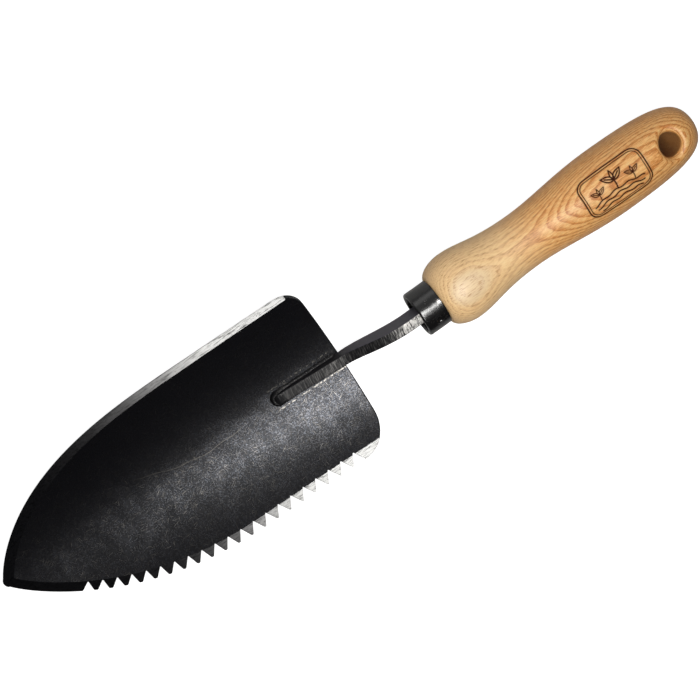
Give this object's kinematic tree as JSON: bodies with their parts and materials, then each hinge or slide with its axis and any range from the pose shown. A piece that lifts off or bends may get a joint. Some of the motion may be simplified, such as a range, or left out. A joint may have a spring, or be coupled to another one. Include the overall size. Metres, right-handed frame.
{
  "type": "hand transplanter",
  "caption": "Hand transplanter: trough-shaped pointed steel blade with one toothed edge, welded to a cranked plate stem that is glued and pinned into a turned ash handle with a hanging hole.",
  "frame": {"origin": "on the handle's axis, at the middle of the hanging hole", "axes": "+X along the handle's axis towards the blade's point, +Y to the toothed side, +Z out of the blade's hollow side"},
  "size_m": [0.3386, 0.0801, 0.0381],
  "materials": {
    "blade_steel": "black oxide with a soft sheen, fine scratches, and bright ground bevels",
    "stem_steel": "black oxide, flame-cut marks across the narrow edges",
    "weld_metal": "rippled bead under black oxide",
    "ferrule_steel": "satin black",
    "brad_steel": "blackened, scuffed on the head",
    "ash": "turned, oiled and varnished, satin",
    "glue": "cured, dull"
  },
  "bodies": {
    "root": {"blade": "blade_steel", "stem": "stem_steel", "weld_bead_left": "weld_metal", "weld_bead_right": "weld_metal", "weld_bead_nose": "weld_metal", "ferrule": "ferrule_steel", "ferrule_brad": "brad_steel", "handle": "ash", "tang_adhesive": "glue"}
  },
  "joints": []
}
